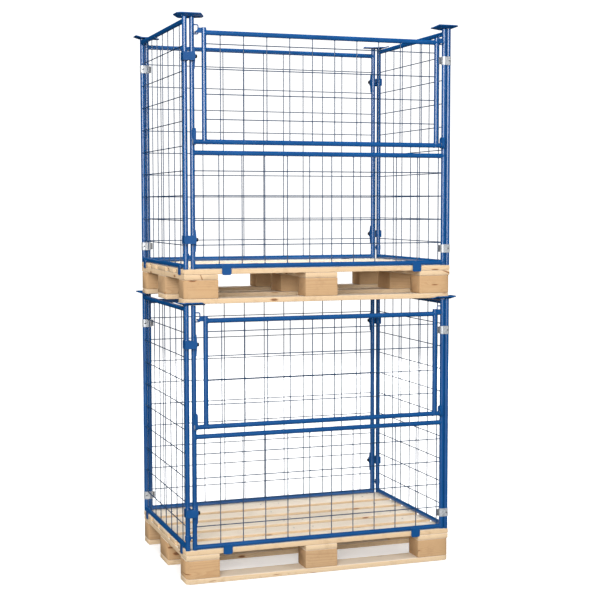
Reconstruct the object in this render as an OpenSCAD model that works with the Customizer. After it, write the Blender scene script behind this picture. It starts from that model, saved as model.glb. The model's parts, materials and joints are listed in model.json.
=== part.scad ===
// Two collapsible wire mesh containers, stacked. Each one is a four-way wooden pallet
// with a tubular mesh cage on its deck: two end panels, a hinged front panel with a
// drop gate, and a hinged back panel. Origin: centre of the footprint, on the floor.
// +X runs along the pallets, -Y is the front with the gate, +Z is up.

/* [Pallet] */
// Length of the pallet, along X
pallet_l = 1200; // [1150:10:1250]
// Width of the pallet, along Y
pallet_w = 800; // [780:10:850]
// Thickness of every board
board_t = 22; // [20:1:24]
// Height of the blocks
block_h = 78; // [74:1:90]
// Width of the wide deck boards, the stringers and the middle blocks
wide_w = 145; // [140:1:150]
// Width of the narrow deck boards and the outer blocks
narrow_w = 100; // [95:1:105]
// Chamfer on the upright corners of the blocks and bottom boards
corner_cut = 14; // [8:1:20]
// Diameter of a nail's shank
nail_d = 4.4; // [3.5:0.1:5]
// Diameter of a nail's head
nail_head_d = 9; // [8:0.5:10]

/* [Cage] */
// Height of the cage, from the deck to the stacking face
cage_h = 1030; // [1028:1:1040]
// Outer diameter of every frame tube
tube_d = 20; // [19.8:0.1:20.2]
// Wall of every frame tube
tube_wall = 2; // [2:0.1:2.2]
// Distance between the two posts at a bolted corner
lock_gap = 30; // [29.5:0.5:30.5]
// Distance between the two posts at a hinged corner
hinge_gap = 20.6; // [20.6:0.1:21]
// Height of the bottom rails above the deck
bottom_rail_z = 11; // [11:0.5:12]
// Height of the front panel's middle rail
middle_rail_z = 477; // [475:1:479]
// Height of the back panel's top rail
back_top_rail_z = 990; // [985:1:1000]
// Height of the end panels' top rails
end_top_rail_z = 1010; // [1007:1:1014]

/* [Mesh] */
// Diameter of the mesh wire
wire_d = 4; // [3:0.1:4.2]
// Spacing of the upright wires
wire_pitch = 100; // [98:0.5:101]
// Spacing of the level wires
level_pitch = 101.5; // [101:0.1:101.6]
// Height of the lowest level wire
first_level_z = 99; // [98:0.5:99.5]

/* [Gate] */
// Height of the gate's bottom rail, which is its pivot
gate_pivot_z = 521; // [520:0.5:522]
// Height of the gate's top rail
gate_top_z = 962; // [960:1:963]
// Distance from a front post to the gate's upright beside it
gate_inset = 46; // [46:0.5:47]
// Height that the gate lifts to clear its latch loops
gate_lift = 22; // [10:1:24]
// Diameter of the pivot pins' heads
pivot_head_d = 19; // [18.5:0.1:19.2]

/* [Bolts] */
// Diameter of the sliding bolts
bolt_d = 10; // [9:0.1:10]
// Diameter of the bolts' knobs
knob_d = 15; // [12:0.5:16]
// Height of the upper bolts above the deck
upper_bolt_z = 865; // [862:1:868]
// Height of the lower container's lower bolts above its deck
lower_unit_bolt_z = 162; // [158:1:165]
// Height of the upper container's lower bolts above its deck
upper_unit_bolt_z = 122; // [122:1:126]

/* [Stacking corners] */
// Length of a stacking corner along X
corner_leg_x = 90; // [75:1:105]
// Length of a stacking corner along Y
corner_leg_y = 70; // [60:1:90]
// Thickness of the stacking corners' plate
corner_t = 4; // [3:0.5:5]
// Width of the flared guide
flare_w = 27; // [22:1:32]
// Angle of the flared guide above level
flare_angle = 20; // [15:1:30]
// Length that a flare loses at its free end, where it is cut on the slant
flare_cut = 20; // [0:1:30]

/* [Hidden] */
$fn = 40;

// The two containers
LOWER = 0;
UPPER = 1;

// Heights within a pallet, from its own underside
bottom_top_z = board_t;
block_top_z = bottom_top_z + block_h;
stringer_top_z = block_top_z + board_t;
pallet_h = stringer_top_z + board_t;
stack_pitch = pallet_h + cage_h;

// Places of the pallet's boards and blocks
block_x = (pallet_l - wide_w) / 2;
outer_block_y = (pallet_w - narrow_w) / 2;
outer_board_y = (pallet_w - wide_w) / 2;
deck_gap = (pallet_w - 3 * wide_w - 2 * narrow_w) / 4;
narrow_board_y = wide_w / 2 + deck_gap + narrow_w / 2;
block_columns = [-block_x, 0, block_x];

// Nails: clearance in the wood, head thickness, and how deep they reach
nail_slack = 0.05;
nail_head_t = 1.5;
top_nail_end_z = 60;
bottom_nail_end_z = 56;
stringer_nail_end_z = block_top_z + 2;
nail_dx = 45;
nail_dy = 25;

// Cage: the tubes' outer sides stand just outside the pallet's edges
edge_gap = 0.5;
tube_r = tube_d / 2;
bore_d = tube_d - 2 * tube_wall;
end_x = pallet_l / 2 + edge_gap - tube_r;
side_y = pallet_w / 2 + edge_gap - tube_r;
lock_x = lock_gap - end_x;
hinge_x = end_x - hinge_gap;
panel_mid_x = (lock_x + hinge_x) / 2;
panel_clear = 1;
post_top_z = cage_h - corner_t;
panel_top_z = post_top_z - 2;

// Mesh: the two layers of wires touch at the tube's centre plane
touch = 0.02;
layer = wire_d / 2 + touch / 2;
front_first_wire = 66.5;
front_wire_pitch = wire_pitch - 0.5;
gate_first_level = 91.5;

// Width of a stacking corner's plate at the ends of its legs
corner_w = 30;
corner_clear = 3;

// Lugs that reach down over the pallet's edge
lug_w = 40;
end_lug_w = 30;
lug_t = 4;
lug_drop = 26;
lug_rise = 14;
lug_gap = 0.4;
lug_round = 8;
left_lug_x = -420;
right_lug_x = 441;
end_lug_y = 325;

// Closing saddles at the bolted corners
saddle_z = 54;
saddle_h = 22;
saddle_slack = 0.4;
saddle_t = 3;
saddle_turn = 160;
saddle_bar_y = -5.5;
saddle_bar_t = 4;
saddle_bar_h = 8;

// Gate: it hangs in front of the posts, so that it can fold down over the middle rail
front_plane = tube_d + 1;
gate_y = -side_y - front_plane;
left_upright_x = lock_x + gate_inset;
right_upright_x = hinge_x - gate_inset;
guide_w = 12;
guide_wall = 3;
guide_slack = 0.5;
guide_r = pivot_head_d / 2 + guide_slack;
left_guide_run = 43;
right_guide_run = gate_lift + guide_slack;
left_guide_x = lock_x + 2;
right_guide_x = hinge_x - tube_r - guide_w / 2 - 1;
upright_rise = 20;
pivot_head_l = 11;
pivot_shank_l = 16;
pivot_slack = 0.08;
rail_end = guide_w / 2 + 0.5;
bracket_l = 7;
bracket_bite = 5;
bracket_reach = 6;
bracket_low = 4;

// Latch loops on the posts, and the gate's pegs that stand in them
loop_wire_d = 5;
loop_bend_r = 6;
loop_reach = 26.5;
loop_y = -side_y - 3.5;
loop_slack = 1;
peg_d = 8;
peg_offset = 17;
peg_z = gate_top_z + 3;
peg_end_y = 6.5;
loop_low_z = peg_z - 8;
loop_high_z = peg_z + (peg_d + loop_wire_d) / 2 + gate_lift + loop_slack;
tab_r = 5;
tab_t = 4;

// Bolts, their housings and keepers, in the gate's plane
bolt_travel = 10;
bolt_slack = 0.08;
bolt_end = 9;
knob_l = 8;
knob_rim = 1.5;
collar_d = 15.6;
collar_t = 3;
cavity_d = 16.4;
cavity_gap = 0.2;
cavity_left = -13;
cavity_right = 5;
keeper_left = -15;
keeper_right = 12;
keeper_front = -12;
keeper_back = 26;
keeper_h = 34;
keeper_slot = 10.8;
keeper_slot_left = -3;
bolt_tip = keeper_right + 1 - bolt_travel;
barrel_d = 26;
barrel_left = keeper_right + 1 - lock_gap;
barrel_right = 8;
housing_right = 5;
housing_back = front_plane - tube_r + 1.5;
housing_h = 34;
housing_cut = 5;
hood_t = 3;
cheek_x = 12;
cheek_inner = 2;
cheek_outer = 9.5;
cheek_middle = housing_h / 2 - 3;
cheek_y = 9;
cheek_low = -50;
cheek_high = 40;
spring_r = 6.5;
spring_wire_r = 0.5;
spring_turns = 3;
spring_steps = 12;
spring_sides = 6;

// Hinge bands, the ears that close them, and their rivets through the end panels' posts
band_h = 36;
band_t = 1.6;
band_slack = 0.08;
ear_l = 9;
ear_t = 3.2;
ear_h = 30;
low_band_z = 73;
high_band_z = 888;
rivet_d = 4;
rivet_hole_d = 4.1;
rivet_head_d = 8;
rivet_head_t = 1.6;

function bolt_heights(u) = [u == LOWER ? lower_unit_bolt_z : upper_unit_bolt_z, upper_bolt_z];

// ---- Placing ----

module on_floor(u) {
    translate([0, 0, u * stack_pitch])
        children();
}

module on_deck(u) {
    translate([0, 0, u * stack_pitch + pallet_h])
        children();
}

// The back panel is the front panel turned half round
module turned() {
    rotate([0, 0, 180])
        children();
}

module along_x(x0, x1, d) {
    translate([x0, 0, 0])
        rotate([0, 90, 0])
            cylinder(d = d, h = x1 - x0);
}

module along_y(y0, y1, d) {
    translate([0, y0, 0])
        rotate([-90, 0, 0])
            cylinder(d = d, h = y1 - y0);
}

// ---- Pallet ----

module plank(x, y, z, l, w, h) {
    translate([x - l / 2, y - w / 2, z])
        cube([l, w, h]);
}

module pallet_outline(z0, z1) {
    x = pallet_l / 2;
    y = pallet_w / 2;
    c = corner_cut;
    translate([0, 0, z0])
        linear_extrude(z1 - z0)
            polygon([
                [x - c, -y], [x, c - y], [x, y - c], [x - c, y],
                [c - x, y], [-x, y - c], [-x, c - y], [c - x, -y]
            ]);
}

module nail(z_head, z_end, slack) {
    up = z_end > z_head;
    shank = abs(z_end - z_head) + slack;
    translate([0, 0, z_head])
        mirror([0, 0, up ? 0 : 1]) {
            cylinder(d = nail_d + 2 * slack, h = shank);
            cylinder(d = nail_head_d + 2 * slack, h = nail_head_t + slack);
        }
}

// Three nails above and three below each block, and two at each crossing of a narrow board
module nails(slack) {
    for (x = block_columns) {
        for (y = [-outer_block_y, 0, outer_block_y])
            for (p = [[-nail_dx, -nail_dy], [nail_dx, -nail_dy], [0, nail_dy]]) {
                translate([x + p.x, y + p.y, 0])
                    nail(pallet_h, top_nail_end_z, slack);
                translate([x + p.x, y + p.y, 0])
                    nail(0, bottom_nail_end_z, slack);
            }
        for (y = [-narrow_board_y, narrow_board_y])
            for (dx = [-nail_dx, nail_dx])
                translate([x + dx, y, 0])
                    nail(pallet_h, stringer_nail_end_z, slack);
    }
}

module deck_boards(u) {
    color("burlywood")
        on_floor(u)
            difference() {
                union() {
                    for (y = [-outer_board_y, 0, outer_board_y])
                        plank(0, y, stringer_top_z, pallet_l, wide_w, board_t);
                    for (y = [-narrow_board_y, narrow_board_y])
                        plank(0, y, stringer_top_z, pallet_l, narrow_w, board_t);
                }
                nails(nail_slack);
            }
}

module stringer_boards(u) {
    color("tan")
        on_floor(u)
            difference() {
                for (x = block_columns)
                    plank(x, 0, block_top_z, wide_w, pallet_w, board_t);
                nails(nail_slack);
            }
}

module blocks(u) {
    color("peru")
        on_floor(u)
            difference() {
                intersection() {
                    for (x = block_columns) {
                        plank(x, 0, bottom_top_z, wide_w, wide_w, block_h);
                        for (y = [-outer_block_y, outer_block_y])
                            plank(x, y, bottom_top_z, wide_w, narrow_w, block_h);
                    }
                    pallet_outline(0, block_top_z + 1);
                }
                nails(nail_slack);
            }
}

module bottom_boards(u) {
    color("burlywood")
        on_floor(u)
            difference() {
                intersection() {
                    union() {
                        plank(0, 0, 0, pallet_l, wide_w, board_t);
                        for (y = [-outer_block_y, outer_block_y])
                            plank(0, y, 0, pallet_l, narrow_w, board_t);
                    }
                    pallet_outline(-1, board_t + 1);
                }
                nails(nail_slack);
            }
}

module pallet_nails(u) {
    color("silver")
        on_floor(u)
            nails(0);
}

// ---- Frames ----

// Tubes in the XZ plane: posts are [x, z0, z1] and rails are [z, x0, x1]
module tubes(posts, rails, d) {
    for (p = posts)
        translate([p[0], 0, p[1]])
            cylinder(d = d, h = p[2] - p[1]);
    for (r = rails)
        translate([0, 0, r[0]])
            along_x(r[1], r[2], d);
}

module tube_frame(posts, rails) {
    difference() {
        union() {
            tubes(posts, rails, tube_d);
            children();
        }
        tubes(posts, rails, bore_d);
    }
}

module lug(x, w) {
    translate([x, -tube_r + edge_gap - lug_gap, 0])
        rotate([90, 0, 0])
            linear_extrude(lug_t) {
                translate([-w / 2, lug_round - lug_drop])
                    square([w, lug_drop + lug_rise - lug_round]);
                translate([lug_round - w / 2, -lug_drop])
                    square([w - 2 * lug_round, lug_round + 1]);
                for (dx = [lug_round - w / 2, w / 2 - lug_round])
                    translate([dx, lug_round - lug_drop])
                        circle(lug_round);
            }
}

// An end panel's frame in the XZ plane, with its hinge side at -X
module end_frame() {
    difference() {
        tube_frame(
            [[-side_y, 0, post_top_z], [side_y, 0, post_top_z]],
            [[bottom_rail_z, -side_y, side_y], [end_top_rail_z, -side_y, side_y]]
        )
            for (y = [-end_lug_y, end_lug_y])
                lug(y, end_lug_w);
        for (z = [low_band_z, high_band_z])
            translate([0, 0, z])
                along_x(-side_y - tube_d, -side_y + tube_d, rivet_hole_d);
    }
}

module left_end_frame(u) {
    color("royalblue")
        on_deck(u)
            translate([-end_x, 0, 0])
                rotate([0, 0, -90])
                    end_frame();
}

module right_end_frame(u) {
    color("royalblue")
        on_deck(u)
            translate([end_x, 0, 0])
                rotate([0, 0, 90])
                    end_frame();
}

// A curved stop that closes against the front of the end panel's post
module closing_saddle() {
    inner = tube_r + saddle_slack;
    start = 270 - saddle_turn / 2;
    translate([-end_x, 0, saddle_z - saddle_h / 2])
        rotate([0, 0, start])
            rotate_extrude(angle = saddle_turn)
                translate([inner, 0])
                    square([saddle_t, saddle_h]);
    translate([-end_x + inner, saddle_bar_y, saddle_z - saddle_bar_h / 2])
        cube([lock_gap - 2 * tube_r + 2, saddle_bar_t, saddle_bar_h]);
}

// Posts, rails, lugs and saddle of a long panel, in the plane of its posts
module long_panel(rail_heights) {
    tube_frame(
        [[lock_x, panel_clear, panel_top_z], [hinge_x, panel_clear, panel_top_z]],
        [for (z = rail_heights) [z, lock_x, hinge_x]]
    ) {
        lug(left_lug_x, lug_w);
        lug(right_lug_x, lug_w);
        closing_saddle();
        children();
    }
}

// ---- Gate guides and latch loops ----

module slot_outline(r, run) {
    circle(r);
    translate([-run, -r])
        square([run, 2 * r]);
    translate([-run, 0])
        circle(r);
}

// A closed eye in which a pivot pin's head rides up and down
module gate_guide(x, run) {
    translate([x - guide_w / 2, -front_plane, gate_pivot_z])
        rotate([0, 90, 0])
            linear_extrude(guide_w)
                difference() {
                    slot_outline(guide_r + guide_wall, run);
                    slot_outline(guide_r, run);
                }
}

// The right guide stands beside the hinge post, on a bracket, to leave the swing free
module gate_guides() {
    gate_guide(left_guide_x, left_guide_run);
    gate_guide(right_guide_x, right_guide_run);
    translate([hinge_x - tube_r - bracket_bite, -front_plane + guide_r, gate_pivot_z - bracket_low])
        cube([bracket_l, guide_wall + bracket_reach, right_guide_run + 2 * bracket_low]);
}

// A tall wire loop beside a post; side is 1 when it reaches towards +X
module latch_loop(x, side) {
    straight_x = loop_reach - loop_bend_r;
    translate([x, loop_y + side_y, 0])
        mirror([side > 0 ? 0 : 1, 0, 0]) {
            for (z = [loop_low_z, loop_high_z])
                translate([0, 0, z])
                    along_x(tube_r - tube_wall / 2, straight_x, loop_wire_d);
            translate([loop_reach, 0, loop_low_z + loop_bend_r])
                cylinder(d = loop_wire_d, h = loop_high_z - loop_low_z - 2 * loop_bend_r);
            translate([straight_x, 0, loop_high_z - loop_bend_r])
                rotate([90, 0, 0])
                    rotate_extrude(angle = 90)
                        translate([loop_bend_r, 0])
                            circle(d = loop_wire_d);
            translate([straight_x, 0, loop_low_z + loop_bend_r])
                rotate([90, 0, 0])
                    rotate([0, 0, -90])
                        rotate_extrude(angle = 90)
                            translate([loop_bend_r, 0])
                                circle(d = loop_wire_d);
        }
}

module front_frame(u) {
    color("royalblue")
        on_deck(u)
            translate([0, -side_y, 0])
                long_panel([bottom_rail_z, middle_rail_z]) {
                    gate_guides();
                    latch_loop(lock_x, 1);
                    latch_loop(hinge_x, -1);
                }
}

module back_frame(u) {
    color("royalblue")
        on_deck(u)
            turned()
                translate([0, -side_y, 0])
                    long_panel([bottom_rail_z, back_top_rail_z]);
}

// ---- Gate ----

// A tab on the gate's top corner, with a peg that stands in the latch loop
module latch_peg(x, side) {
    reach = gate_inset - peg_offset;
    top = gate_top_z + upright_rise - peg_z - 1;
    translate([x, 0, peg_z])
        mirror([side > 0 ? 0 : 1, 0, 0]) {
            translate([0, tab_t / 2, 0])
                rotate([90, 0, 0])
                    linear_extrude(tab_t) {
                        circle(tab_r);
                        polygon([[0, -tab_r], [reach, -tab_r], [reach, top], [tab_r, top], [0, tab_r]]);
                    }
            along_y(-tab_t / 2, front_plane + peg_end_y, peg_d);
        }
}

module gate_frame(u) {
    color("royalblue")
        on_deck(u)
            translate([0, gate_y, 0])
                tube_frame(
                    [
                        [left_upright_x, gate_pivot_z, gate_top_z + upright_rise],
                        [right_upright_x, gate_pivot_z, gate_top_z + upright_rise]
                    ],
                    [
                        [gate_pivot_z, left_guide_x + rail_end, right_guide_x - rail_end],
                        [gate_top_z, left_upright_x, right_upright_x]
                    ]
                ) {
                    latch_peg(lock_x + peg_offset, 1);
                    latch_peg(hinge_x - peg_offset, -1);
                }
}

module pivot_pin(x, side) {
    translate([x, gate_y, gate_pivot_z])
        mirror([side > 0 ? 0 : 1, 0, 0]) {
            along_x(-pivot_head_l / 2, pivot_head_l / 2, pivot_head_d);
            along_x(0, rail_end + pivot_shank_l, bore_d - 2 * pivot_slack);
        }
}

module gate_pivot_pins(u) {
    color("silver")
        on_deck(u) {
            pivot_pin(left_guide_x, 1);
            pivot_pin(right_guide_x, -1);
        }
}

// ---- Mesh ----

// Upright and level wires that fill a rectangle of the XZ plane
module mesh(xs, zs, x0, x1, z0, z1) {
    for (x = xs)
        translate([x, layer, z0 + touch])
            cylinder(d = wire_d, h = z1 - z0 - 2 * touch);
    for (z = zs)
        translate([0, -layer, z])
            along_x(x0 + touch, x1 - touch, wire_d);
}

function levels(n) = [for (i = [0:n - 1]) first_level_z + i * level_pitch];

module front_mesh(u) {
    first_x = left_upright_x + front_first_wire;
    color("slateblue")
        on_deck(u)
            translate([0, -side_y, 0])
                mesh(
                    [for (i = [0:10]) first_x + i * front_wire_pitch],
                    levels(4),
                    lock_x + tube_r, hinge_x - tube_r,
                    bottom_rail_z + tube_r, middle_rail_z - tube_r
                );
}

module gate_mesh(u) {
    first_z = gate_pivot_z + gate_first_level;
    color("slateblue")
        on_deck(u)
            translate([0, gate_y, 0])
                mesh(
                    [for (i = [-5:4]) panel_mid_x + (i + 0.5) * wire_pitch],
                    [for (i = [0:3]) first_z + i * level_pitch],
                    left_upright_x + tube_r, right_upright_x - tube_r,
                    gate_pivot_z + tube_r, gate_top_z - tube_r
                );
}

module back_mesh(u) {
    color("slateblue")
        on_deck(u)
            turned()
                translate([0, -side_y, 0])
                    mesh(
                        [for (i = [-5:5]) panel_mid_x + i * wire_pitch],
                        levels(9),
                        lock_x + tube_r, hinge_x - tube_r,
                        bottom_rail_z + tube_r, back_top_rail_z - tube_r
                    );
}

module end_meshes(u) {
    color("slateblue")
        on_deck(u)
            for (side = [-1, 1])
                translate([side * end_x, 0, 0])
                    rotate([0, 0, side * 90])
                        mesh(
                            [for (i = [-3:3]) i * wire_pitch],
                            levels(9),
                            tube_r - side_y, side_y - tube_r,
                            bottom_rail_z + tube_r, end_top_rail_z - tube_r
                        );
}

// ---- Stacking corners ----

// Cross-section of the flared guide: X is outwards, Y is up from the plate's top
module flare_section() {
    out = flare_w * cos(flare_angle);
    rise = flare_w * sin(flare_angle) - corner_t;
    polygon([
        [0, -corner_t],
        [out, rise],
        [out - corner_t * sin(flare_angle), rise + corner_t * cos(flare_angle)],
        [0, corner_t / cos(flare_angle) - corner_t]
    ]);
}

// A flare along +X that leans out towards -Y, cut on the slant at its free end
module flare(leg) {
    out = flare_w + 1;
    intersection() {
        mirror([0, 1, 0])
            rotate([90, 0, 90])
                linear_extrude(leg)
                    flare_section();
        translate([0, 0, -flare_w])
            linear_extrude(2 * flare_w)
                polygon([[0, 1], [leg, 1], [leg, 0], [leg - flare_cut, -out], [0, -out]]);
    }
}

// One corner, with its outer corner at the origin and its legs along +X and +Y
module stacking_corner() {
    lx = corner_leg_x;
    ly = corner_leg_y;
    w = corner_w;
    translate([0, 0, -corner_t])
        linear_extrude(corner_t)
            polygon([[0, 0], [lx, 0], [lx, w], [w, ly], [0, ly]]);
    flare(lx);
    mirror([1, -1, 0])
        flare(ly);
    rotate([0, 0, 180])
        rotate_extrude(angle = 90)
            flare_section();
}

module stacking_corners(u) {
    x = pallet_l / 2 + corner_clear;
    y = pallet_w / 2 + corner_clear;
    color("royalblue")
        on_deck(u)
            for (mx = [0, 1])
                for (my = [0, 1])
                    mirror([mx, 0, 0])
                        mirror([0, my, 0])
                            translate([-x, -y, cage_h])
                                stacking_corner();
}

// ---- Bolts ----

// Draws its children at both bolts of a bolted corner, from the middle of the front post
module at_bolts(u) {
    for (z = bolt_heights(u))
        translate([lock_x, gate_y, z])
            children();
}

module post_space(x) {
    translate([x, front_plane, -keeper_h * 2])
        cylinder(d = tube_d + 2 * touch, h = keeper_h * 4);
}

module bolt_keeper() {
    translate([-lock_gap, 0, 0])
        difference() {
            translate([keeper_left, keeper_front, -keeper_h / 2])
                cube([keeper_right - keeper_left, keeper_back - keeper_front, keeper_h]);
            post_space(0);
            along_x(keeper_slot_left, keeper_right + 1, keeper_slot);
            translate([keeper_slot_left, keeper_front - 1, -keeper_slot / 2])
                cube([keeper_right + 1 - keeper_slot_left, 1 - keeper_front, keeper_slot]);
        }
}

module bolt_keepers(u) {
    color("royalblue")
        on_deck(u) {
            at_bolts(u)
                bolt_keeper();
            turned()
                at_bolts(u)
                    bolt_keeper();
        }
}

// A plate in the XZ plane with its four corners cut, from y to y + t
module cut_plate(x0, x1, y, t) {
    z = housing_h / 2;
    c = housing_cut;
    translate([0, y + t, 0])
        rotate([90, 0, 0])
            linear_extrude(t)
                polygon([
                    [x0, c - z], [x0 + c, -z], [x1 - c, -z], [x1, c - z],
                    [x1, z - c], [x1 - c, z], [x0 + c, z], [x0, z - c]
                ]);
}

// A tapered cheek that is welded to the post
module housing_cheek() {
    translate([0, housing_back, 0])
        rotate([90, 0, 0])
            linear_extrude(housing_back - cheek_y)
                polygon([
                    [cheek_inner, cheek_low], [cheek_outer, cheek_low], [cheek_x, -cheek_middle],
                    [cheek_x, cheek_middle], [cheek_outer, cheek_high], [cheek_inner, cheek_high]
                ]);
}

// The hood in front covers the keeper, and swings away with the panel
module bolt_housing() {
    front = -barrel_d / 2;
    difference() {
        union() {
            along_x(barrel_left, barrel_right, barrel_d);
            cut_plate(barrel_left, housing_right, front, housing_back - front);
            cut_plate(keeper_left - lock_gap, housing_right, front - hood_t, hood_t);
            housing_cheek();
        }
        post_space(0);
        along_x(barrel_left - 1, barrel_right + 1, bolt_d + 2 * bolt_slack);
        along_x(cavity_left, cavity_right, cavity_d);
    }
}

module front_bolt_housings(u) {
    color("mediumblue")
        on_deck(u)
            at_bolts(u)
                bolt_housing();
}

module back_bolt_housings(u) {
    color("mediumblue")
        on_deck(u)
            turned()
                at_bolts(u)
                    bolt_housing();
}

// The bolt runs from the keeper to the knob, with a collar that the spring bears on
module sliding_bolt() {
    along_x(bolt_tip - lock_gap, bolt_end, bolt_d);
    along_x(cavity_left + cavity_gap, cavity_left + cavity_gap + collar_t, collar_d);
}

module bolt_knob() {
    along_x(bolt_end + touch, bolt_end + knob_l, knob_d);
    along_x(bolt_end + knob_rim, bolt_end + knob_l - knob_rim, knob_d + 1);
}

// Points of a coil about the X axis
function coil_centre(a, x0, x1, turns) = [
    x0 + (x1 - x0) * a / (360 * turns), spring_r * cos(a), spring_r * sin(a)
];
function coil_ring(a, x0, x1, turns) = [
    for (k = [0:spring_sides - 1])
        let (t = 360 * k / spring_sides, c = coil_centre(a, x0, x1, turns))
            [
                c.x + spring_wire_r * sin(t),
                c.y + spring_wire_r * cos(t) * cos(a),
                c.z + spring_wire_r * cos(t) * sin(a)
            ]
];

module bolt_spring() {
    x0 = cavity_left + collar_t + 2 * cavity_gap + spring_wire_r;
    x1 = cavity_right - cavity_gap - spring_wire_r;
    rings = spring_turns * spring_steps;
    n = spring_sides;
    points = [
        for (i = [0:rings])
            each coil_ring(i * 360 / spring_steps, x0, x1, spring_turns)
    ];
    walls = [
        for (i = [0:rings - 1])
            for (k = [0:n - 1])
                [i * n + k, i * n + (k + 1) % n, (i + 1) * n + (k + 1) % n, (i + 1) * n + k]
    ];
    first_cap = [for (k = [n - 1:-1:0]) k];
    last_cap = [for (k = [0:n - 1]) rings * n + k];
    polyhedron(points, concat(walls, [first_cap, last_cap]));
}

module front_bolt_springs(u) {
    color("silver")
        on_deck(u)
            at_bolts(u)
                bolt_spring();
}

module back_bolt_springs(u) {
    color("silver")
        on_deck(u)
            turned()
                at_bolts(u)
                    bolt_spring();
}

module front_bolt(u, height) {
    color("gainsboro")
        on_deck(u)
            translate([lock_x, gate_y, height])
                sliding_bolt();
}

module front_knob(u, height) {
    color("black")
        on_deck(u)
            translate([lock_x, gate_y, height])
                bolt_knob();
}

module back_bolt(u, height) {
    turned()
        front_bolt(u, height);
}

module back_knob(u, height) {
    turned()
        front_knob(u, height);
}

// ---- Hinge bands ----

module band_outline(r) {
    translate([-hinge_gap / 2, 0])
        circle(r);
    translate([hinge_gap / 2, 0])
        circle(r);
    translate([-hinge_gap / 2, -r])
        square([hinge_gap, 2 * r]);
}

// A flat strap round both posts, closed by an ear and held by a rivet through the end panel's post
module hinge_band() {
    inner = tube_r + band_slack;
    outer = inner + band_t;
    head_y = outer + touch;
    difference() {
        translate([0, 0, -band_h / 2])
            linear_extrude(band_h)
                difference() {
                    band_outline(outer);
                    band_outline(inner);
                }
        translate([hinge_gap / 2, 0, 0])
            along_y(-outer - 1, outer + 1, rivet_hole_d);
    }
    translate([-hinge_gap / 2 - outer - ear_l, -ear_t / 2, -ear_h / 2])
        cube([ear_l + band_t / 2, ear_t, ear_h]);
    translate([hinge_gap / 2, 0, 0]) {
        along_y(-head_y, head_y, rivet_d);
        for (m = [0, 1])
            mirror([0, m, 0])
                along_y(head_y, head_y + rivet_head_t, rivet_head_d);
    }
}

module hinge_bands(u) {
    color("gainsboro")
        on_deck(u)
            for (turn = [0, 180])
                rotate([0, 0, turn])
                    for (z = [low_band_z, high_band_z])
                        translate([(end_x + hinge_x) / 2, -side_y, z])
                            hinge_band();
}

// ---- Drawing ----

deck_boards(LOWER);  // lower_deck_boards
stringer_boards(LOWER);  // lower_stringer_boards
blocks(LOWER);  // lower_blocks
bottom_boards(LOWER);  // lower_bottom_boards
pallet_nails(LOWER);  // lower_pallet_nails
left_end_frame(LOWER);  // lower_left_end_frame
right_end_frame(LOWER);  // lower_right_end_frame
end_meshes(LOWER);  // lower_end_meshes
stacking_corners(LOWER);  // lower_stacking_corners
bolt_keepers(LOWER);  // lower_bolt_keepers
hinge_bands(LOWER);  // lower_hinge_bands
front_frame(LOWER);  // lower_front_frame
front_mesh(LOWER);  // lower_front_mesh
front_bolt_housings(LOWER);  // lower_front_bolt_housings
front_bolt_springs(LOWER);  // lower_front_bolt_springs
gate_frame(LOWER);  // lower_gate_frame
gate_mesh(LOWER);  // lower_gate_mesh
gate_pivot_pins(LOWER);  // lower_gate_pivot_pins
back_frame(LOWER);  // lower_back_frame
back_mesh(LOWER);  // lower_back_mesh
back_bolt_housings(LOWER);  // lower_back_bolt_housings
back_bolt_springs(LOWER);  // lower_back_bolt_springs
front_bolt(LOWER, upper_bolt_z);  // lower_front_top_bolt
front_knob(LOWER, upper_bolt_z);  // lower_front_top_knob
front_bolt(LOWER, lower_unit_bolt_z);  // lower_front_low_bolt
front_knob(LOWER, lower_unit_bolt_z);  // lower_front_low_knob
back_bolt(LOWER, upper_bolt_z);  // lower_back_top_bolt
back_knob(LOWER, upper_bolt_z);  // lower_back_top_knob
back_bolt(LOWER, lower_unit_bolt_z);  // lower_back_low_bolt
back_knob(LOWER, lower_unit_bolt_z);  // lower_back_low_knob
deck_boards(UPPER);  // upper_deck_boards
stringer_boards(UPPER);  // upper_stringer_boards
blocks(UPPER);  // upper_blocks
bottom_boards(UPPER);  // upper_bottom_boards
pallet_nails(UPPER);  // upper_pallet_nails
left_end_frame(UPPER);  // upper_left_end_frame
right_end_frame(UPPER);  // upper_right_end_frame
end_meshes(UPPER);  // upper_end_meshes
stacking_corners(UPPER);  // upper_stacking_corners
bolt_keepers(UPPER);  // upper_bolt_keepers
hinge_bands(UPPER);  // upper_hinge_bands
front_frame(UPPER);  // upper_front_frame
front_mesh(UPPER);  // upper_front_mesh
front_bolt_housings(UPPER);  // upper_front_bolt_housings
front_bolt_springs(UPPER);  // upper_front_bolt_springs
gate_frame(UPPER);  // upper_gate_frame
gate_mesh(UPPER);  // upper_gate_mesh
gate_pivot_pins(UPPER);  // upper_gate_pivot_pins
back_frame(UPPER);  // upper_back_frame
back_mesh(UPPER);  // upper_back_mesh
back_bolt_housings(UPPER);  // upper_back_bolt_housings
back_bolt_springs(UPPER);  // upper_back_bolt_springs
front_bolt(UPPER, upper_bolt_z);  // upper_front_top_bolt
front_knob(UPPER, upper_bolt_z);  // upper_front_top_knob
front_bolt(UPPER, upper_unit_bolt_z);  // upper_front_low_bolt
front_knob(UPPER, upper_unit_bolt_z);  // upper_front_low_knob
back_bolt(UPPER, upper_bolt_z);  // upper_back_top_bolt
back_knob(UPPER, upper_bolt_z);  // upper_back_top_knob
back_bolt(UPPER, upper_unit_bolt_z);  // upper_back_low_bolt
back_knob(UPPER, upper_unit_bolt_z);  // upper_back_low_knob
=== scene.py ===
"""Looks for the two stacked wire mesh containers: timber, welds, hardware, materials, light and camera."""

import json
import math
import random

import bpy
from mathutils import Matrix, Vector, noise


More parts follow.
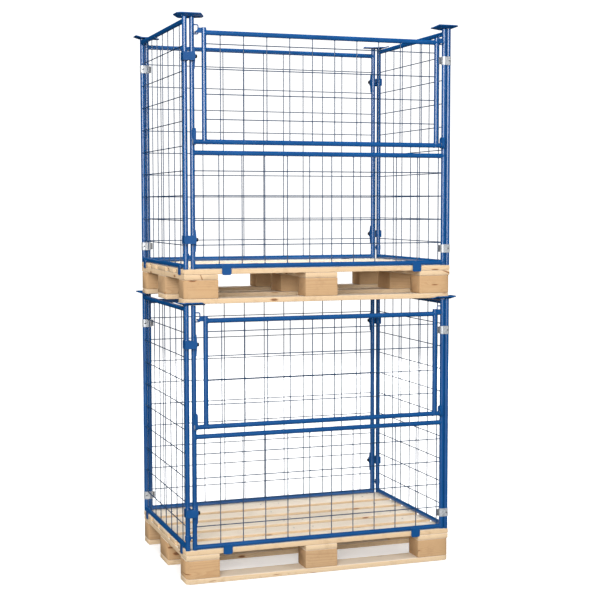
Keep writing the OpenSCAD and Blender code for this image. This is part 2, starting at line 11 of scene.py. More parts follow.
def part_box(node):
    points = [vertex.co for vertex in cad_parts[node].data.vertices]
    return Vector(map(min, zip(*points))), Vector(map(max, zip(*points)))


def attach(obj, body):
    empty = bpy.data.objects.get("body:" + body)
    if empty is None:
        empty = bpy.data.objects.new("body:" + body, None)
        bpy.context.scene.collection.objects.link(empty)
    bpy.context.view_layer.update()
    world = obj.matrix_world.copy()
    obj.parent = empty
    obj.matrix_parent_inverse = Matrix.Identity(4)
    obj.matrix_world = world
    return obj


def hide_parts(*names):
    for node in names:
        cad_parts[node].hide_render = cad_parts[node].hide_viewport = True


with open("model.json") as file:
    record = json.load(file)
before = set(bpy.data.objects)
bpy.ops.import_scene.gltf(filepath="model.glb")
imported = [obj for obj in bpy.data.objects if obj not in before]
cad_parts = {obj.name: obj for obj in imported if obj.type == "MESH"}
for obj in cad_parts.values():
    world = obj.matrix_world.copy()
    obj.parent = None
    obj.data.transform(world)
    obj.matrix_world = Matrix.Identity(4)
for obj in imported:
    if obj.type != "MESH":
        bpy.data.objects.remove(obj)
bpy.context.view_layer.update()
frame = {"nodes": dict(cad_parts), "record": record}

UNITS = ("lower", "upper")
MM = 0.001
TUBE_R = 10 * MM
X, Y, Z = Vector((1, 0, 0)), Vector((0, 1, 0)), Vector((0, 0, 1))


# ---- What the frame says ----

def islands(node):
    """Lowest and highest corners of each separate solid of a CAD node, in a steady order."""
    mesh = frame["nodes"][node].data
    place, root = {}, []

    def find(i):
        while root[i] != i:
            root[i] = root[root[i]]
            i = root[i]
        return i

    ids = []
    for v in mesh.vertices:
        key = tuple(round(c * 1e6) for c in v.co)
        if key not in place:
            place[key] = len(root)
            root.append(len(root))
        ids.append(place[key])
    for e in mesh.edges:
        a, b = find(ids[e.vertices[0]]), find(ids[e.vertices[1]])
        root[a] = b
    boxes = {}
    for v in mesh.vertices:
        r = find(ids[v.index])
        lo, hi = boxes.setdefault(r, (v.co.copy(), v.co.copy()))
        for k in range(3):
            lo[k] = min(lo[k], v.co[k])
            hi[k] = max(hi[k], v.co[k])
    return sorted(boxes.values(), key=lambda b: tuple(round(c, 5) for c in (*b[0], *b[1])))


def middle(box):
    return (box[0] + box[1]) / 2


def size(box):
    return box[1] - box[0]


# ---- Mesh building ----

class Shape:
    """Collects vertices and faces, with the values that each vertex carries, and makes one object."""

    def __init__(self):
        self.verts, self.faces, self.values = [], [], {}

    def point(self, co, **values):
        self.verts.append(tuple(co))
        for key, value in values.items():
            self.values.setdefault(key, {})[len(self.verts) - 1] = value
        return len(self.verts) - 1

    def rings(self, rings, closed=False, caps=True):
        """Skins a list of rings of vertex numbers, which all have the same length."""
        n = len(rings[0])
        pairs = list(zip(rings, rings[1:])) + ([(rings[-1], rings[0])] if closed else [])
        for a, b in pairs:
            for k in range(n):
                j = (k + 1) % n
                self.faces.append((a[k], a[j], b[j], b[k]))
        if caps and not closed:
            self.faces.append(tuple(reversed(rings[0])))
            self.faces.append(tuple(rings[-1]))

    def build(self, name, sharp_angle):
        mesh = bpy.data.meshes.new(name)
        mesh.from_pydata(self.verts, [], self.faces)
        for key, by_vertex in self.values.items():
            vector = isinstance(next(iter(by_vertex.values())), (tuple, Vector))
            layer = mesh.attributes.new(key, "FLOAT_VECTOR" if vector else "FLOAT", "POINT")
            for i, value in by_vertex.items():
                if vector:
                    layer.data[i].vector = value
                else:
                    layer.data[i].value = value
        mesh.validate()
        mesh.shade_smooth()
        mesh.set_sharp_from_angle(angle=math.radians(sharp_angle))
        piece = bpy.data.objects.new(name, mesh)
        bpy.context.scene.collection.objects.link(piece)
        return piece


def sweep(shape, path, section, closed):
    """Skins a section along a path. Each station is (centre, side, up, scale)."""
    rings = []
    for centre, side, up, scale in path:
        rings.append([shape.point(centre + side * (s * scale) + up * (t * scale)) for s, t in section])
    shape.rings(rings, closed=closed)


def circle(radius, n):
    turns = [2 * math.pi * k / n for k in range(n)]
    return [(radius * math.cos(t), radius * math.sin(t)) for t in turns]


def lathe(shape, origin, axis, profile, n, flutes=0, flute_depth=0.0):
    """Turns a profile of (distance along the axis, radius) rows about an axis, in n steps.

    A row whose third value is 1 is fluted.
    """
    side = axis.orthogonal().normalized()
    up = axis.cross(side)
    rings = []
    for row in profile:
        along, radius = row[0], row[1]
        fluted = row[2] if len(row) > 2 else 0
        ring = []
        for k in range(n):
            a = 2 * math.pi * k / n
            r = radius - fluted * flute_depth * (0.5 - 0.5 * math.cos(flutes * a))
            spot = origin + axis * along + side * (r * math.cos(a))
            ring.append(shape.point(spot + up * (r * math.sin(a))))
        rings.append(ring)
    shape.rings(rings)


def blob(shape, centre, radii):
    """A small squashed ball of weld metal, as rings from its underside to its top."""
    n = 8
    rows = 4
    rings = []
    for i in range(1, rows):
        t = math.pi * i / rows
        rings.append([
            shape.point(centre + Vector((
                radii[0] * math.sin(t) * math.cos(2 * math.pi * k / n),
                radii[1] * math.sin(t) * math.sin(2 * math.pi * k / n),
                radii[2] * -math.cos(t),
            )))
            for k in range(n)
        ])
    shape.rings(rings)


# ---- Materials ----

class Material:
    """A node material.

    add() makes a node. An input that is given a socket is linked, and one given a value is set.
    """

    def __init__(self, name):
        self.material = bpy.data.materials.new(name)
        self.material.use_nodes = True
        self.tree = self.material.node_tree
        self.shader = self.tree.nodes["Principled BSDF"]

    def add(self, kind, out=0, settings=None, **inputs):
        node = self.tree.nodes.new("ShaderNode" + kind)
        for key, value in (settings or {}).items():
            setattr(node, key, value)
        for key, value in inputs.items():
            self.feed(node, int(key[1:]) if key[0] == "i" and key[1:].isdigit() else key, value)
        return node.outputs[out]

    def feed(self, node, key, value):
        socket = node.inputs[key]
        if isinstance(value, bpy.types.NodeSocket):
            self.tree.links.new(value, socket)
        else:
            socket.default_value = value

    def math(self, operation, a, b=0.0):
        return self.add("Math", settings={"operation": operation}, i0=a, i1=b)

    def mix(self, factor, a, b, blend="MIX"):
        node = self.tree.nodes.new("ShaderNodeMix")
        node.data_type = "RGBA"
        node.blend_type = blend
        self.feed(node, 0, factor)
        self.feed(node, 6, a)
        self.feed(node, 7, b)
        return node.outputs[2]

    def ramp(self, value, stops):
        """Maps a value to a number through (position, number) stops."""
        node = self.tree.nodes.new("ShaderNodeValToRGB")
        elements = node.color_ramp.elements
        while len(elements) < len(stops):
            elements.new(0.5)
        for element, (position, number) in zip(elements, stops):
            element.position = position
            element.color = (number, number, number, 1)
        self.feed(node, "Fac", value)
        return self.add("SeparateXYZ", Vector=node.outputs["Color"])

    def noise(self, scale, detail=3.0, roughness=0.55, vector=None):
        vector = vector or self.here()
        return self.add("TexNoise", Vector=vector, Scale=scale, Detail=detail, Roughness=roughness)

    def here(self):
        return self.add("TexCoord", out="Object")

    def bump(self, height, distance, strength):
        return self.add("Bump", Height=height, Distance=distance, Strength=strength)

    def finish(self, **inputs):
        for key, value in inputs.items():
            self.feed(self.shader, key.replace("_", " "), value)
        return self.material


def rgb(r, g, b):
    """A colour from its sRGB bytes, as linear light."""
    straight_part_ends = 10
    linear = []
    for byte in (r, g, b):
        c = byte / 255
        linear.append(((c + 0.055) / 1.055) ** 2.4 if byte > straight_part_ends else c / 12.92)
    return (*linear, 1.0)


def powder_coat(name, light, dark, grain):
    """Satin powder coat: an orange-peel skin, thin and thick patches, and faint handling marks."""
    patch_scale = 9.0
    mark_scale = 65.0
    mark_colour = rgb(70, 126, 176)
    mark_strength = 0.12
    smoothest = 0.27
    patch_roughness = 0.08
    mark_roughness = 0.10
    peel_height = 0.00016
    peel_strength = 0.45
    m = Material(name)
    patches = m.noise(patch_scale, detail=4.0)
    marks = m.ramp(m.noise(mark_scale, detail=6.0, roughness=0.7), [(0.60, 0.0), (0.70, 1.0)])
    colour = m.mix(patches, dark, light)
    colour = m.mix(m.math("MULTIPLY", marks, mark_strength), colour, mark_colour)
    peel = m.noise(grain, detail=2.0)
    roughness = m.math("ADD", smoothest, m.math("MULTIPLY", patches, patch_roughness))
    roughness = m.math("ADD", roughness, m.math("MULTIPLY", marks, mark_roughness))
    return m.finish(Base_Color=colour, Roughness=roughness, Specular_IOR_Level=0.90,
                    Normal=m.bump(peel, peel_height, peel_strength))


def zinc(name, light, dark, roughness, spangle):
    """Galvanised steel: spangle cells of different greys under a dull film."""
    film_scale = 40.0
    film_colour = rgb(214, 218, 222)
    film_strength = 0.35
    cell_contrast = 0.7
    cell_roughness = 0.12
    pitting_scale = 700.0
    pitting_height = 0.0001
    m = Material(name)
    cells = m.add("TexVoronoi", out="Color", Vector=m.here(), Scale=spangle)
    grey = m.add("SeparateXYZ", Vector=cells)
    film = m.noise(film_scale, detail=4.0)
    colour = m.mix(m.math("MULTIPLY", grey, cell_contrast), light, dark)
    colour = m.mix(m.math("MULTIPLY", film, film_strength), colour, film_colour)
    rough = m.math("ADD", roughness, m.math("MULTIPLY", grey, cell_roughness))
    pitting = m.noise(pitting_scale, detail=3.0)
    return m.finish(Base_Color=colour, Metallic=0.5, Roughness=rough,
                    Normal=m.bump(pitting, pitting_height, 0.4))


def black_plastic(name):
    """Moulded black plastic: a fine grain, a little greyer and rougher where it is handled."""
    smoothest = 0.34
    cloud_roughness = 0.16
    grain_scale = 1500.0
    grain_height = 0.0001
    m = Material(name)
    cloud = m.noise(60.0, detail=4.0)
    colour = m.mix(cloud, rgb(14, 14, 15), rgb(34, 34, 37))
    roughness = m.math("ADD", smoothest, m.math("MULTIPLY", cloud, cloud_roughness))
    grain = m.noise(grain_scale, detail=2.0)
    return m.finish(Base_Color=colour, Roughness=roughness, Normal=m.bump(grain, grain_height, 0.5))


def pine(name, early, late, knot):
    """Sawn pine.

    The attribute 'grain' is the place in the log: X along it, Y and Z out from the pith.
    """
    knots_along = 3.4
    knots_round = 1.6
    rings_per_metre = 210.0
    ring_wander = 0.016
    ring_swell = 0.010
    late_strength = 0.62
    fibre_strength = 0.28
    tint_warmth = 0.18
    cloud_warmth = 0.20
    halo_strength = 0.55
    core_strength = 0.75
    grime_strength = 0.34
    # how strongly faces that look up are painted lighter: part dust, part painted top light
    dust_and_top_light_least = 0.54
    dust_and_top_light_cloud = 0.25
    late_relief = 0.35
    fibre_relief = 0.5
    saw_relief = 0.6
    relief_height = 0.0004
    roughest = 0.78
    late_gloss = 0.14
    warm_tone = rgb(206, 160, 108)
    knot_halo = rgb(178, 120, 70)
    grime_tone = rgb(148, 114, 80)
    # pale tone for faces that look up: part dust, part painted top light
    dust_and_top_light_tone = rgb(246, 238, 224)
    m = Material(name)
    place = m.add("Attribute", out="Vector", settings={"attribute_name": "grain"})
    tint = m.add("Attribute", out="Fac", settings={"attribute_name": "tint"})
    parts = m.tree.nodes.new("ShaderNodeSeparateXYZ")
    m.feed(parts, 0, place)
    along, across, out = parts.outputs

    def stretched(x, y, z):
        return m.add("VectorMath", settings={"operation": "MULTIPLY"}, i0=place, i1=(x, y, z))

    # knots are cones that run out from the pith, so they are cells of length and angle
    angle = m.math("ARCTAN2", across, out)
    cell = m.add("CombineXYZ", X=m.math("MULTIPLY", along, knots_along),
                 Y=m.math("MULTIPLY", angle, knots_round), Z=0.0)
    knot_far = m.add("TexVoronoi", out="Distance", settings={"voronoi_dimensions": "2D"},
                     Vector=cell, Scale=1.0)
    knot_core = m.ramp(knot_far, [(0.035, 1.0), (0.058, 0.0)])
    knot_rim = m.ramp(knot_far, [(0.05, 1.0), (0.075, 0.0)])
    swirl = m.ramp(knot_far, [(0.0, 1.0), (0.30, 0.0)])

    # growth rings wander with the log and swell round the knots
    wander = m.noise(1.0, detail=3.0, vector=stretched(1.3, 9.0, 9.0))
    squares = m.math("ADD", m.math("MULTIPLY", across, across), m.math("MULTIPLY", out, out))
    radius = m.math("SQRT", squares)
    radius = m.math("ADD", radius, m.math("MULTIPLY", wander, ring_wander))
    radius = m.math("ADD", radius, m.math("MULTIPLY", swirl, ring_swell))
    ring = m.math("FRACT", m.math("MULTIPLY", radius, rings_per_metre))
    late_wood = m.ramp(ring, [(0.0, 0.0), (0.55, 0.25), (0.86, 1.0), (1.0, 0.0)])

    # fine fibres along the length, and the marks that the saw left across it
    fibre = m.noise(1.0, detail=2.0, vector=stretched(14.0, 900.0, 900.0))
    saw = m.noise(1.0, detail=1.0, vector=stretched(420.0, 6.0, 6.0))
    cloud = m.noise(3.2, detail=3.0)
    colour = m.mix(m.math("MULTIPLY", late_wood, late_strength), early, late)
    colour = m.mix(m.math("MULTIPLY", fibre, fibre_strength), colour, late)
    shade = m.math("ADD", m.math("MULTIPLY", tint, tint_warmth),
                   m.math("MULTIPLY", cloud, cloud_warmth))
    colour = m.mix(shade, colour, warm_tone)
    colour = m.mix(m.math("MULTIPLY", knot_rim, halo_strength), colour, knot_halo)
    colour = m.mix(m.math("MULTIPLY", knot_core, core_strength), colour, knot)
    grime = m.ramp(m.noise(24.0, detail=6.0, roughness=0.7), [(0.52, 0.0), (0.74, 1.0)])
    colour = m.mix(m.math("MULTIPLY", grime, grime_strength), colour, grime_tone)

    # faces that look up are painted lighter: partly real bleaching and dust, partly painted top light
    facing = m.add("SeparateXYZ", out=2, Vector=m.add("TexCoord", out="Normal"))
    patchy = m.math("ADD", dust_and_top_light_least, m.math("MULTIPLY", cloud, dust_and_top_light_cloud))
    dust_and_top_light = m.math("MULTIPLY", m.ramp(facing, [(0.6, 0.0), (0.9, 1.0)]), patchy)
    colour = m.mix(dust_and_top_light, colour, dust_and_top_light_tone)

    height = m.math("ADD", m.math("MULTIPLY", late_wood, late_relief),
                    m.math("MULTIPLY", fibre, fibre_relief))
    height = m.math("ADD", height, m.math("MULTIPLY", saw, saw_relief))
    roughness = m.math("SUBTRACT", roughest, m.math("MULTIPLY", late_wood, late_gloss))
    return m.finish(Base_Color=colour, Roughness=roughness, Specular_IOR_Level=0.3,
                    Normal=m.bump(height, relief_height, 0.6))


def make_materials():
    steel_light, steel_dark = rgb(216, 219, 222), rgb(150, 156, 162)
    return {
        "blue_tube": powder_coat("blue_tube", rgb(8, 80, 142), rgb(4, 60, 112), 620.0),
        "blue_wire": powder_coat("blue_wire", rgb(22, 60, 94), rgb(12, 44, 76), 1400.0),
        "galvanised_steel": zinc("galvanised_steel", steel_light, steel_dark, 0.34, 150.0),
        "spring_steel": zinc("spring_steel", rgb(190, 192, 196), rgb(120, 122, 128), 0.25, 900.0),
        "nail_steel": zinc("nail_steel", rgb(150, 146, 140), rgb(96, 88, 80), 0.42, 700.0),
        "dull_rivet": zinc("dull_rivet", rgb(92, 94, 98), rgb(58, 60, 64), 0.45, 500.0),
        "black_knob": black_plastic("black_knob"),
        "pine_boards": pine("pine_boards", rgb(214, 195, 165), rgb(190, 158, 120), rgb(106, 62, 34)),
        "pine_blocks": pine("pine_blocks", rgb(186, 156, 120), rgb(156, 120, 84), rgb(98, 58, 34)),
    }


MATERIALS = make_materials()


def dress(piece, slot, body, look=None):
    """Gives a piece the material of its slot and the body that it moves with.

    look names the material where it isn't the slot's own.
    """
    piece.data.materials.append(MATERIALS[look or slot])
    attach(piece, body)
    return piece


def dress_frame():
    """Gives every CAD node the material of its slot."""
    slots = {s["node"]: s["material_slot"] for s in frame["record"]["subparts"]}
    for name, node in frame["nodes"].items():
        node.data.materials.clear()
        node.data.materials.append(MATERIALS[slots[name]])


# ---- Timber ----

BOARD_ROUND = 2.2 * MM
END_ROUND = 2.2 * MM
END_STEP = 0.7 * MM
FACE_POINT_GAP = 16 * MM
THIN_TIMBER = 40 * MM
ROUGH_SAWN_MM = 0.28
CUP_MAX = 0.25
PITH_SIDEWAYS = 0.04
PITH_NEAREST = 0.02
PITH_FURTHEST = 0.09
LEAN_SIDEWAYS = 0.02
LEAN_UP = 0.025
TIMBER_SEED = 20
FACE_SET_BACK = 0.35 * MM
STATION = 45 * MM
CORNER_CUT = 14 * MM


def timber_section(width, height, radius):
    """A rectangle with rounded corners and a few points along each face, centred on the origin."""
    a, b = width / 2 - radius, height / 2 - radius
    face_points = max(3, round(width / FACE_POINT_GAP))
    side_points = max(2, round(height / FACE_POINT_GAP))
    corners = [(a, b, 0), (-a, b, 90), (-a, -b, 180), (a, -b, 270)]
    section = []
    for k, (cx, cy, start) in enumerate(corners):
        for step in range(4):
            t = math.radians(start + step * 30)
            section.append((cx + radius * math.cos(t), cy + radius * math.sin(t)))
        last = section[-1]
        nx, ny, turn = corners[(k + 1) % 4]
        t = math.radians(turn)
        following = (nx + radius * math.cos(t), ny + radius * math.sin(t))
        count = face_points if k % 2 == 0 else side_points
        for step in range(1, count):
            f = step / count
            x = last[0] + (following[0] - last[0]) * f
            y = last[1] + (following[1] - last[1]) * f
            section.append((x, y))
    return section


def timber(shape, box, axis, rng, cuts):
    """One sawn board or block.

    axis is 0 or 1, the way the grain runs. cuts are the (end, side) corners that are cut off.
    """
    centre, extent = middle(box), size(box)
    length, width, height = extent[axis], extent[1 - axis], extent[2]
    section = timber_section(width - 2 * FACE_SET_BACK, height - 2 * FACE_SET_BACK, BOARD_ROUND)
    along = X if axis == 0 else Y
    across = Y if axis == 0 else X
    seed = rng.uniform(0, 50)
    tint = rng.random()
    cup = rng.uniform(-CUP_MAX, CUP_MAX) * MM
    pith = (rng.uniform(-PITH_SIDEWAYS, PITH_SIDEWAYS),
            rng.choice((-1, 1)) * rng.uniform(PITH_NEAREST, PITH_FURTHEST))
    lean = (rng.uniform(-LEAN_SIDEWAYS, LEAN_SIDEWAYS), rng.uniform(-LEAN_UP, LEAN_UP))
    half = length / 2
    ends = [0, END_STEP, END_ROUND]
    inner = max(1, round((length - 2 * CORNER_CUT) / STATION))
    stops = ends + [CORNER_CUT + (length - 2 * CORNER_CUT) * i / inner for i in range(inner + 1)]
    stops += [length - e for e in reversed(ends)]
    rings = []
    for stop in stops:
        u = stop - half
        edge = min(stop, length - stop)
        shrink = BOARD_ROUND * 0.6 * max(0.0, 1 - edge / END_ROUND) ** 2
        ring = []
        for s, t in section:
            v = math.copysign(max(0.0, abs(s) - shrink), s)
            w = math.copysign(max(0.0, abs(t) - shrink), t)
            rough = noise.noise(Vector((u * 9 + seed, v * 24, w * 30))) * ROUGH_SAWN_MM * MM
            w += cup * ((2 * v / width) ** 2 - 0.5) * (0.5 if height < THIN_TIMBER else 0.0)
            v -= math.copysign(abs(rough), v) * min(1.0, abs(v) / (width * 0.4))
            w -= math.copysign(abs(rough), w) * min(1.0, abs(w) / (height * 0.4))
            for end, side in cuts:
                from_end = half - end * u
                limit = width / 2 - max(0.0, CORNER_CUT - from_end)
                if side * v > limit:
                    v = side * limit
            ring.append(shape.point(
                centre + along * u + across * v + Z * w,
                grain=(u + seed, v + pith[0] + lean[0] * u, w + pith[1] + lean[1] * u),
                tint=tint,
            ))
        rings.append(ring)
    shape.rings(rings)


def corner_cuts(box, axis, outline):
    """The corners of a timber that are cut off, because they stand at the pallet's own corners."""
    centre, extent = middle(box), size(box)
    cuts = []
    for end in (-1, 1):
        for side in (-1, 1):
            reach = [0, 0]
            reach[axis] = end * (centre[axis] + end * extent[axis] / 2)
            reach[1 - axis] = side * (centre[1 - axis] + side * extent[1 - axis] / 2)
            if reach[0] > outline[0] - MM and reach[1] > outline[1] - MM:
                cuts.append((end, side))
    return cuts


def make_timber():
    rng = random.Random(TIMBER_SEED)
    kinds = (("deck_boards", 0, False, "pine_boards"), ("stringer_boards", 1, False, "pine_boards"),
             ("blocks", 0, True, "pine_blocks"), ("bottom_boards", 0, True, "pine_boards"))
    for unit in UNITS:
        outline = size(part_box(unit + "_deck_boards")) / 2
        for kind, axis, cut, slot in kinds:
            shape = Shape()
            for box in islands(f"{unit}_{kind}"):
                timber(shape, box, axis, rng, corner_cuts(box, axis, outline) if cut else ())
            piece = shape.build(f"{unit}_sawn_{kind}", sharp_angle=50)
            dress(piece, slot, unit + "_pallet")
            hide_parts(f"{unit}_{kind}")


def make_nail_heads():
    """Flat heads with a struck ring, and a short stub of shank below each."""
    profile = [(-6, 2.0), (-1.4, 2.0), (-1.2, 4.3), (-0.4, 4.5), (-0.12, 4.3), (-0.05, 3.2), (-0.16, 2.9),
               (-0.16, 0.6), (-0.10, 0.3)]
    above_blocks_foot = 60 * MM
    for unit in UNITS:
        shape = Shape()
        for box in islands(unit + "_pallet_nails"):
            centre = middle(box)
            top = centre.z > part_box(unit + "_blocks")[0].z + above_blocks_foot
            head = Vector((centre.x, centre.y, box[1].z if top else box[0].z))
            lathe(shape, head, Z if top else -Z, [(a * MM, r * MM) for a, r in profile], n=16)
        piece = shape.build(unit + "_nail_heads", sharp_angle=30)
        dress(piece, "nail_steel", unit + "_pallet")
        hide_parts(unit + "_pallet_nails")


# ---- Welds ----

BEAD_R = 1.7 * MM
BEAD_POINTS = 56
BEAD_PROUD = 0.2 * MM
BEAD_FLATTEST = 0.12
RIPPLE = 0.13
SLOW_RIPPLE = 0.06
FLANK_THINNING = 0.75
WELD_SEED = 7
WIRE_LEVEL_MAX = 0.1
CROSSING_REACH = 0.01
NUGGET_WIDE = 2.5 * MM
NUGGET_DEEP = 1.5 * MM
FOOT_WIDE = 3.1 * MM
FOOT_DEEP = 1.9 * MM
FOOT_IN = 0.6 * MM


def tube_weld(shape, post, rail_way, post_axis, rng):
    """The bead where a rail meets a post of the same size: a saddle-shaped ring with ripples."""
    third = rail_way.cross(post_axis)
    count = BEAD_POINTS
    phase = rng.uniform(0, 6)
    centres = []
    for k in range(count):
        t = 2 * math.pi * k / count
        radial = third * math.cos(t) + post_axis * math.sin(t)
        reach = math.sqrt((TUBE_R * math.sin(t)) ** 2 + (BEAD_FLATTEST * TUBE_R) ** 2)
        proud = BEAD_PROUD * math.sin(t) ** 2
        centres.append((post + radial * (TUBE_R + proud) + rail_way * reach, radial))
    path = []
    for k, (centre, radial) in enumerate(centres):
        onward = (centres[(k + 1) % count][0] - centres[k - 1][0]).normalized()
        side = (radial - onward * radial.dot(onward)).normalized()
        ripple = 1 + RIPPLE * math.sin(k * 2.2 + phase) + SLOW_RIPPLE * math.sin(k * 0.7 + phase)
        # the bead thins out on the flanks, so that it clears the post that it swings past
        flank = math.cos(2 * math.pi * k / count) ** 4
        path.append((centre, side, onward.cross(side), ripple * (1 - FLANK_THINNING * flank)))
    sweep(shape, path, circle(BEAD_R, 7), closed=True)


def grid_welds(shape, wires, rng):
    """Weld nuggets where wires cross and where they end on the tubes, from the wires' own boxes."""
    uprights = [b for b in wires if size(b).z > WIRE_LEVEL_MAX]
    levels = [b for b in wires if size(b).z < WIRE_LEVEL_MAX]
    for upright in uprights:
        cu = middle(upright)
        for level in levels:
            cl = middle(level)
            past_x = abs(cl.x - cu.x) > size(level).x / 2 + CROSSING_REACH
            past_y = abs(cl.y - cu.y) > size(level).y / 2 + CROSSING_REACH
            if past_x or past_y:
                continue
            wide = NUGGET_WIDE * rng.uniform(0.9, 1.1)
            if size(level).x > size(level).y:
                spot = Vector((cu.x, (cu.y + cl.y) / 2, cl.z))
                radii = (wide, NUGGET_DEEP, wide)
            else:
                spot = Vector(((cu.x + cl.x) / 2, cu.y, cl.z))
                radii = (NUGGET_DEEP, wide, wide)
            blob(shape, spot, radii)
        for z, way in ((upright[0].z, 1), (upright[1].z, -1)):
            blob(shape, Vector((cu.x, cu.y, z + way * FOOT_IN)), (FOOT_WIDE, FOOT_WIDE, FOOT_DEEP))
    for level in levels:
        cl = middle(level)
        axis = 0 if size(level).x > size(level).y else 1
        radii = [FOOT_WIDE, FOOT_WIDE, FOOT_WIDE]
        radii[axis] = FOOT_DEEP
        for end, way in ((level[0][axis], 1), (level[1][axis], -1)):
            spot = cl.copy()
            spot[axis] = end + way * FOOT_IN
            blob(shape, spot, radii)


def panel_welds(shape, wires, rng):
    """Beads at the four corners of the tube frame that a grid of wires fills."""
    lo = Vector([min(b[0][k] for b in wires) for k in range(3)])
    hi = Vector([max(b[1][k] for b in wires) for k in range(3)])
    along = X if hi.x - lo.x > hi.y - lo.y else Y
    axis = 0 if along == X else 1
    plane = (lo[1 - axis] + hi[1 - axis]) / 2
    for z in (lo.z - TUBE_R, hi.z + TUBE_R):
        for place, way in ((lo[axis] - TUBE_R, 1), (hi[axis] + TUBE_R, -1)):
            post = Vector((0, 0, z))
            post[axis] = place
            post[1 - axis] = plane
            tube_weld(shape, post, along * way, Z, rng)


def make_welds():
    rng = random.Random(WELD_SEED)
    for unit in UNITS:
        ends = islands(unit + "_end_meshes")
        groups = {
            "cage": [[b for b in ends if middle(b).x < 0], [b for b in ends if middle(b).x > 0]],
            "front_panel": [islands(unit + "_front_mesh")],
            "gate": [islands(unit + "_gate_mesh")],
            "back_panel": [islands(unit + "_back_mesh")],
        }
        for body, grids in groups.items():
            shape = Shape()
            for wires in grids:
                grid_welds(shape, wires, rng)
                panel_welds(shape, wires, rng)
            piece = shape.build(f"{unit}_{body}_welds", sharp_angle=60)
            dress(piece, "blue_tube", f"{unit}_{body}")


# ---- Hardware ----

def rounded_bar(half_thick, half_high, edge):
    """Section of a flat strap with small chamfers: first across its thickness, then up its height."""
    t, h = half_thick, half_high
    return [(t, edge - h), (t, h - edge), (t - edge, h), (edge - t, h),
            (-t, h - edge), (-t, edge - h), (edge - t, -h), (t - edge, -h)]


BAND_INNER = TUBE_R + 0.08 * MM
BAND_THICK = 1.6 * MM
BAND_OUTER = BAND_INNER + BAND_THICK
BAND_MIDDLE = BAND_INNER + BAND_THICK / 2
EAR_REACH = 9 * MM
EAR_HALF_HIGH = 15 * MM


def band_outline(run):
    """A loop round two tubes, as (place, normal): a half turn, then a flat side, at each end."""
    turns = 14
    flats = 4
    outline = []
    for end in (1, -1):
        for k in range(turns + 1):
            a = math.radians((-90 if end > 0 else 90) + 180 * k / turns)
            normal = Vector((math.cos(a), math.sin(a), 0))
            outline.append((X * (end * run) + normal * BAND_MIDDLE, normal))
        for k in range(1, flats):
            x = end * run * (1 - 2 * k / flats)
            outline.append((Vector((x, end * BAND_MIDDLE, 0)), Y * end))
    return outline


def make_hinge_bands():
    """Strap bands round the paired posts, each closed by an ear, with a domed rivet on both faces."""
    dome = [(-1.0, 3.9), (0.1, 4.0), (0.6, 3.6), (1.1, 2.7), (1.4, 1.4), (1.5, 0.3)]
    dome = [(a * MM, r * MM) for a, r in dome]
    leaf = rounded_bar(0.75 * MM, EAR_HALF_HIGH, 0.4 * MM)
    leaf_apart = 0.8 * MM
    narrowest_band = 0.02
    for unit in UNITS:
        shape = Shape()
        dark = Shape()
        bands = [b for b in islands(unit + "_hinge_bands") if size(b).x > narrowest_band]
        for box in bands:
            outward = 1 if middle(box).x > 0 else -1
            run = (size(box).x - EAR_REACH) / 2 - BAND_OUTER
            centre = middle(box) + X * (outward * EAR_REACH / 2)
            section = rounded_bar(BAND_THICK / 2, size(box).z / 2, 0.5 * MM)
            path = [(centre + spot, normal, Z, 1.0) for spot, normal in band_outline(run)]
            sweep(shape, path, section, closed=True)
            root = centre - X * (outward * (run + BAND_OUTER - BAND_THICK / 2))
            tip = centre - X * (outward * (run + BAND_OUTER + EAR_REACH))
            for side in (-1, 1):
                offset = Y * (side * leaf_apart)
                sweep(dark, [(root + offset, Y, Z, 1.0), (tip + offset, Y, Z, 1.0)], leaf, closed=False)
            rivet = centre + X * (outward * run)
            for way in (-1, 1):
                lathe(dark, rivet + Y * (way * BAND_OUTER), Y * way, dome, n=20)
        piece = shape.build(unit + "_strap_bands", sharp_angle=40)
        dress(piece, "galvanised_steel", unit + "_cage")
        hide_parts(unit + "_hinge_bands")
        rivets = dark.build(unit + "_band_rivets", sharp_angle=40)
        dress(rivets, "galvanised_steel", unit + "_cage", look="dull_rivet")


def make_knobs():
    """Fluted grips with a rounded end, in place of the plain knobs."""
    flute_depth = 0.9 * MM
    for name in sorted(frame["nodes"]):
        if not name.endswith("_knob"):
            continue
        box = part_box(name)
        centre, length = middle(box), size(box).x
        way = X if "_front_" in name else -X
        start = centre - way * (length / 2)
        profile = [(0.0, 4.9), (0.1, 6.4), (0.16, 7.3), (0.3, 7.8, 1), (0.5, 7.9, 1), (0.7, 7.8, 1),
                   (0.85, 7.3), (0.95, 6.0), (1.0, 3.2), (0.97, 1.2), (0.96, 0.2)]
        rows = [(row[0] * length, row[1] * MM, *row[2:]) for row in profile]
        shape = Shape()
        lathe(shape, start, way, rows, n=48, flutes=12, flute_depth=flute_depth)
        piece = shape.build(name.replace("_knob", "_grip"), sharp_angle=50)
        dress(piece, "black_knob", name.replace("_knob", "_bolt_pull"))
        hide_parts(name)


def soften_plates():
    """Rounds the pressed edges of the plates and brackets."""
    sharpest_kept = 40
    widths = {
        "stacking_corners": 0.9,
        "bolt_keepers": 1.2,
        "front_bolt_housings": 0.9,
        "back_bolt_housings": 0.9,
    }
    for unit in UNITS:
        for kind, width in widths.items():
            bevel = frame["nodes"][f"{unit}_{kind}"].modifiers.new("edges", "BEVEL")
            bevel.width = width * MM
            bevel.segments = 2
            bevel.limit_method = "ANGLE"
            bevel.angle_limit = math.radians(sharpest_kept)
            bevel.harden_normals = True


# ---- Stage ----

FOCAL_PX = 1320.0
IMAGE_PX = 600.0
SENSOR = 36.0
HEADING, PITCH, ROLL = (math.radians(a) for a in (19.33, 4.09, -0.06))
EYE = Vector((-1.941, -5.654, 1.579))


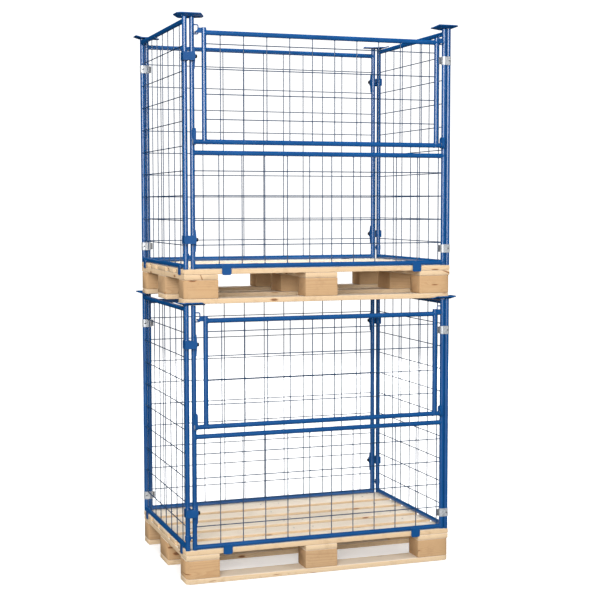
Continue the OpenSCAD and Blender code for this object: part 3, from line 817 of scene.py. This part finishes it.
def make_camera():
    onward = Vector((
        math.sin(HEADING) * math.cos(PITCH),
        math.cos(HEADING) * math.cos(PITCH),
        -math.sin(PITCH),
    ))
    level = Vector((math.cos(HEADING), -math.sin(HEADING), 0))
    upward = level.cross(onward)
    right = level * math.cos(ROLL) + upward * math.sin(ROLL)
    up = upward * math.cos(ROLL) - level * math.sin(ROLL)
    camera = bpy.data.objects.new("camera", bpy.data.cameras.new("camera"))
    turn = Matrix((right, up, -onward)).transposed()
    camera.matrix_world = Matrix.Translation(EYE) @ turn.to_4x4()
    camera.data.sensor_width = SENSOR
    camera.data.lens = FOCAL_PX / IMAGE_PX * SENSOR
    bpy.context.scene.collection.objects.link(camera)
    bpy.context.scene.camera = camera


def make_floor():
    """A round studio bowl: a flat floor that curves up into a wall, so that no horizon shows."""
    flat = 9.0
    bend = 7.0
    wall = 7.0
    sides = 96
    steps = 16
    glow_span = 20.0
    glow = [(0.08, 0.34), (0.40, 0.80)]
    profile = [(0.01, 0.0), (2.0, 0.0), (4.0, 0.0), (6.0, 0.0), (flat, 0.0)]
    for k in range(1, steps + 1):
        a = math.pi / 2 * k / steps
        profile.append((flat + bend * math.sin(a), bend * (1 - math.cos(a))))
    profile.append((flat + bend, bend + wall))
    shape = Shape()
    rings = []
    for radius, height in profile:
        rings.append([shape.point((x, y, height)) for x, y in circle(radius, sides)])
    shape.rings(rings, caps=False)
    shape.faces.append(tuple(rings[0]))
    floor = shape.build("floor", sharp_angle=80)
    m = Material("floor_paint")
    cloud = m.noise(0.6, detail=2.0)
    radius = m.add("VectorMath", out=1, settings={"operation": "LENGTH"}, i0=m.here())
    lift = m.math("DIVIDE", radius, glow_span)
    grey = m.mix(cloud, (0.84, 0.84, 0.84, 1), (0.88, 0.88, 0.88, 1))
    floor.data.materials.append(m.finish(
        Base_Color=grey, Roughness=0.9, Specular_IOR_Level=0.1, Emission_Color=(1, 1, 1, 1),
        Emission_Strength=m.ramp(lift, glow)))
    floor.visible_diffuse = False
    floor.visible_glossy = False


def soft_box(name, place, target, width, height, watts, shines=False):
    """A rectangular lamp turned to a target. It shows in glossy surfaces only if it shines."""
    light = bpy.data.lights.new(name, "AREA")
    light.shape = "RECTANGLE"
    light.size = width
    light.size_y = height
    light.energy = watts
    holder = bpy.data.objects.new(name, light)
    holder.location = place
    holder.rotation_euler = (Vector(target) - Vector(place)).to_track_quat("-Z", "Y").to_euler()
    holder.visible_glossy = shines
    bpy.context.scene.collection.objects.link(holder)


def make_light():
    """Soft lamps round the object under a dim white sky. The sky and most lamps leave no glints."""
    sky_strength = 0.28
    world = bpy.data.worlds.new("studio")
    world.use_nodes = True
    sky = world.node_tree.nodes["Background"]
    sky.inputs["Color"].default_value = (1, 1, 1, 1)
    sky.inputs["Strength"].default_value = sky_strength
    bpy.context.scene.world = world
    world.cycles_visibility.glossy = False
    bpy.context.scene.view_settings.view_transform = "Standard"
    aim = (0, 0, 1.15)
    soft_box("key", (-3.2, -7.2, 3.2), aim, 4.2, 3.6, 720, shines=True)
    soft_box("fill", (4.6, -4.4, 2.6), aim, 2.2, 3.0, 170)
    soft_box("side", (-6.0, 1.0, 3.0), aim, 2.2, 3.0, 170)
    soft_box("top", (0.5, 0.5, 6.2), aim, 3.0, 3.0, 260)
    soft_box("back", (3.2, 6.6, 3.2), aim, 3.2, 3.2, 200)


make_camera()
make_floor()
make_light()
dress_frame()
make_timber()
make_nail_heads()
make_welds()
make_hinge_bands()
make_knobs()
soften_plates()


def corners(box):
    return [[round(float(c), 6) for c in corner] for corner in box]
